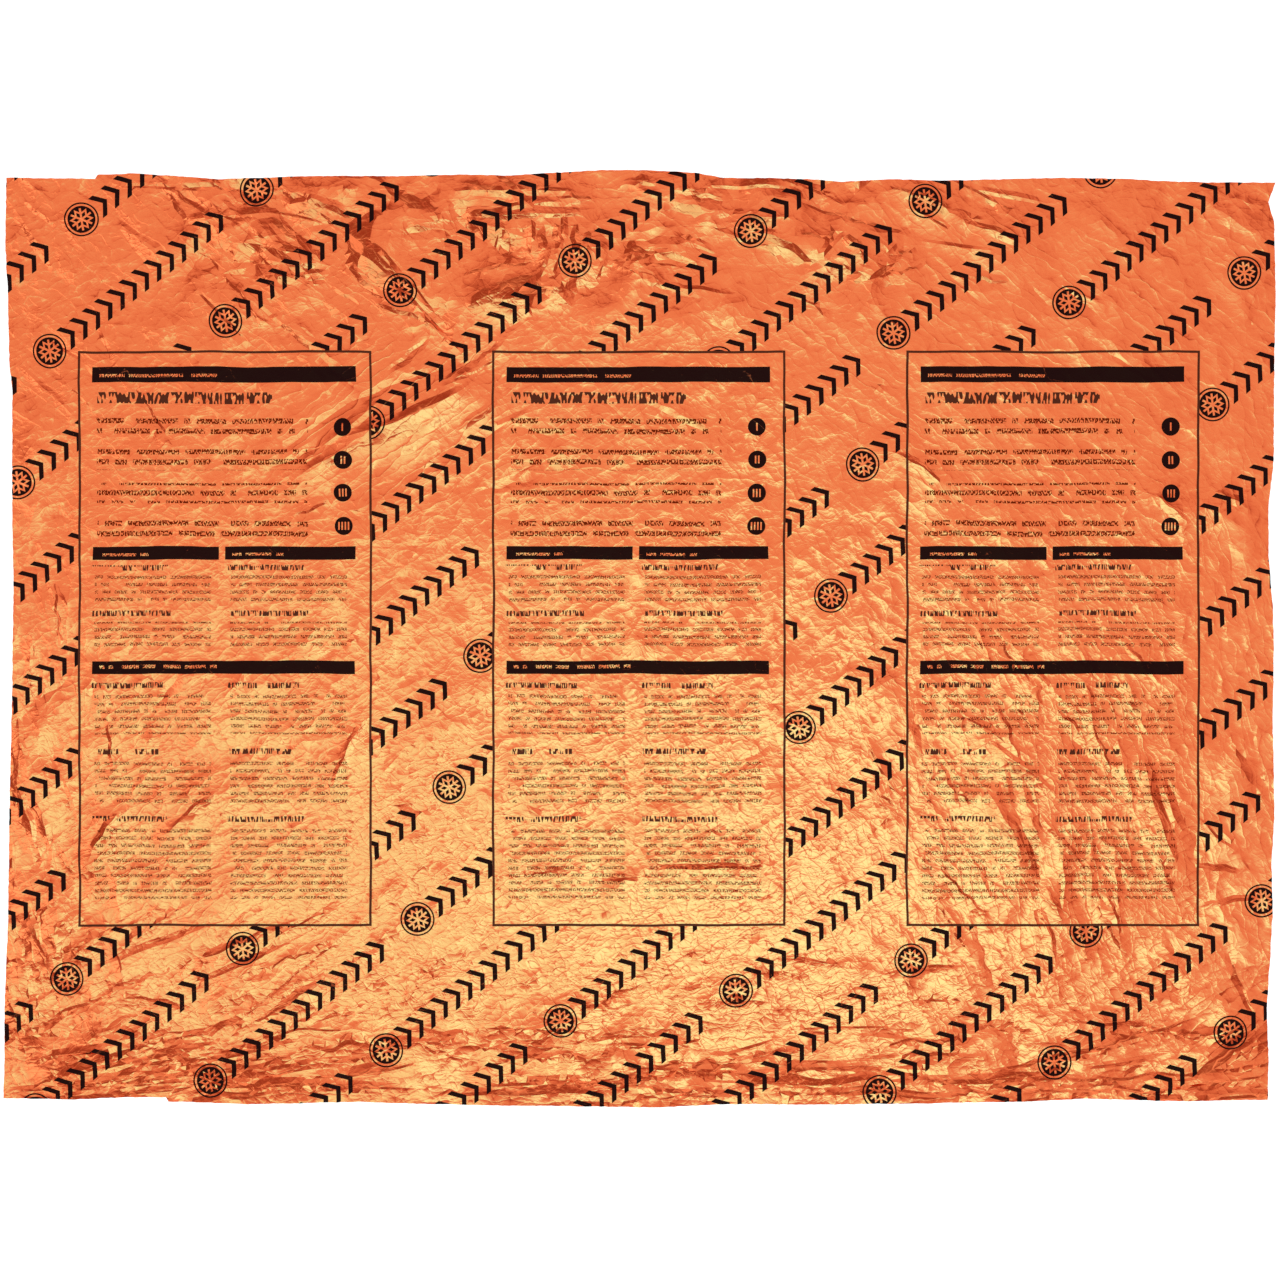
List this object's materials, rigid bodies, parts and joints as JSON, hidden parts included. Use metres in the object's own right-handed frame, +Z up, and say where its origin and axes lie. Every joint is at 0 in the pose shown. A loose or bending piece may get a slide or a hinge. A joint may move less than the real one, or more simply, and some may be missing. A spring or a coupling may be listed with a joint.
{
  "type": "emergency foil blanket",
  "caption": "Rectangular sheet of thin metallised film, spread out face up, with sharp low creases and an uneven outline; it rests flat on a surface.",
  "frame": {"origin": "on the surface that the sheet lies on, under the middle of the sheet's box", "axes": "+X along the long edges, to the right of the print; +Y to the print's upper edge; +Z up, out of the printed face"},
  "size_m": [2.1151, 1.5582, 0.0159],
  "materials": {
    "film": "satin"
  },
  "bodies": {
    "root": {"foil_sheet": "film"}
  },
  "joints": []
}
